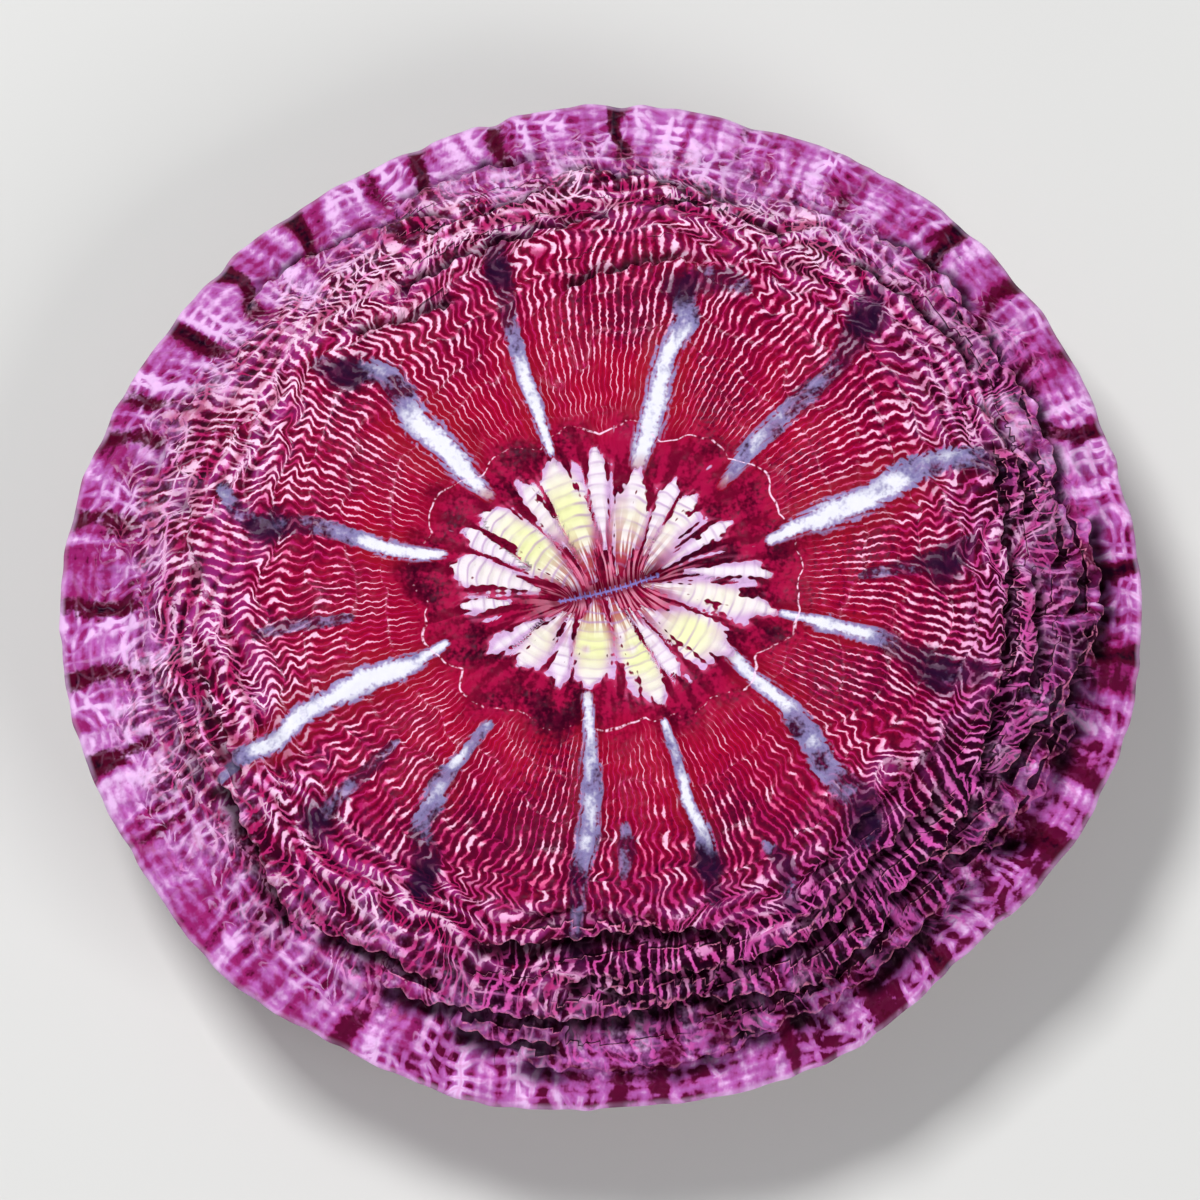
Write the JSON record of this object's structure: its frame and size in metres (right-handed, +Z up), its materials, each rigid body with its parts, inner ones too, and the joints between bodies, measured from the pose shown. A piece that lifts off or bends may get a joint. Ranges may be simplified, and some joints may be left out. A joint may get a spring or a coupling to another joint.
{
  "type": "indophyllia coral",
  "caption": "Solitary disc coral with its flesh inflated into a folded dome round a slit mouth, a furrowed skirt and a ribbed stony cup cut off flat below.",
  "frame": {"origin": "centre of the disc's bounding box, on the flat cut under the stony cup", "axes": "+Z up, out of the mouth; +X along the disc's longer width, which is roughly the way the mouth slit runs; +Y towards the top of the picture"},
  "size_m": [0.0878, 0.0838, 0.0274],
  "materials": {
    "flesh": "wet glossy flesh, crimson to magenta with thin wavy white-pink radial lines, cream petals round the mouth and a violet-pink skirt with maroon bars; bone-white ribbed stone beneath"
  },
  "bodies": {
    "root": {"coral": "flesh"}
  },
  "joints": []
}
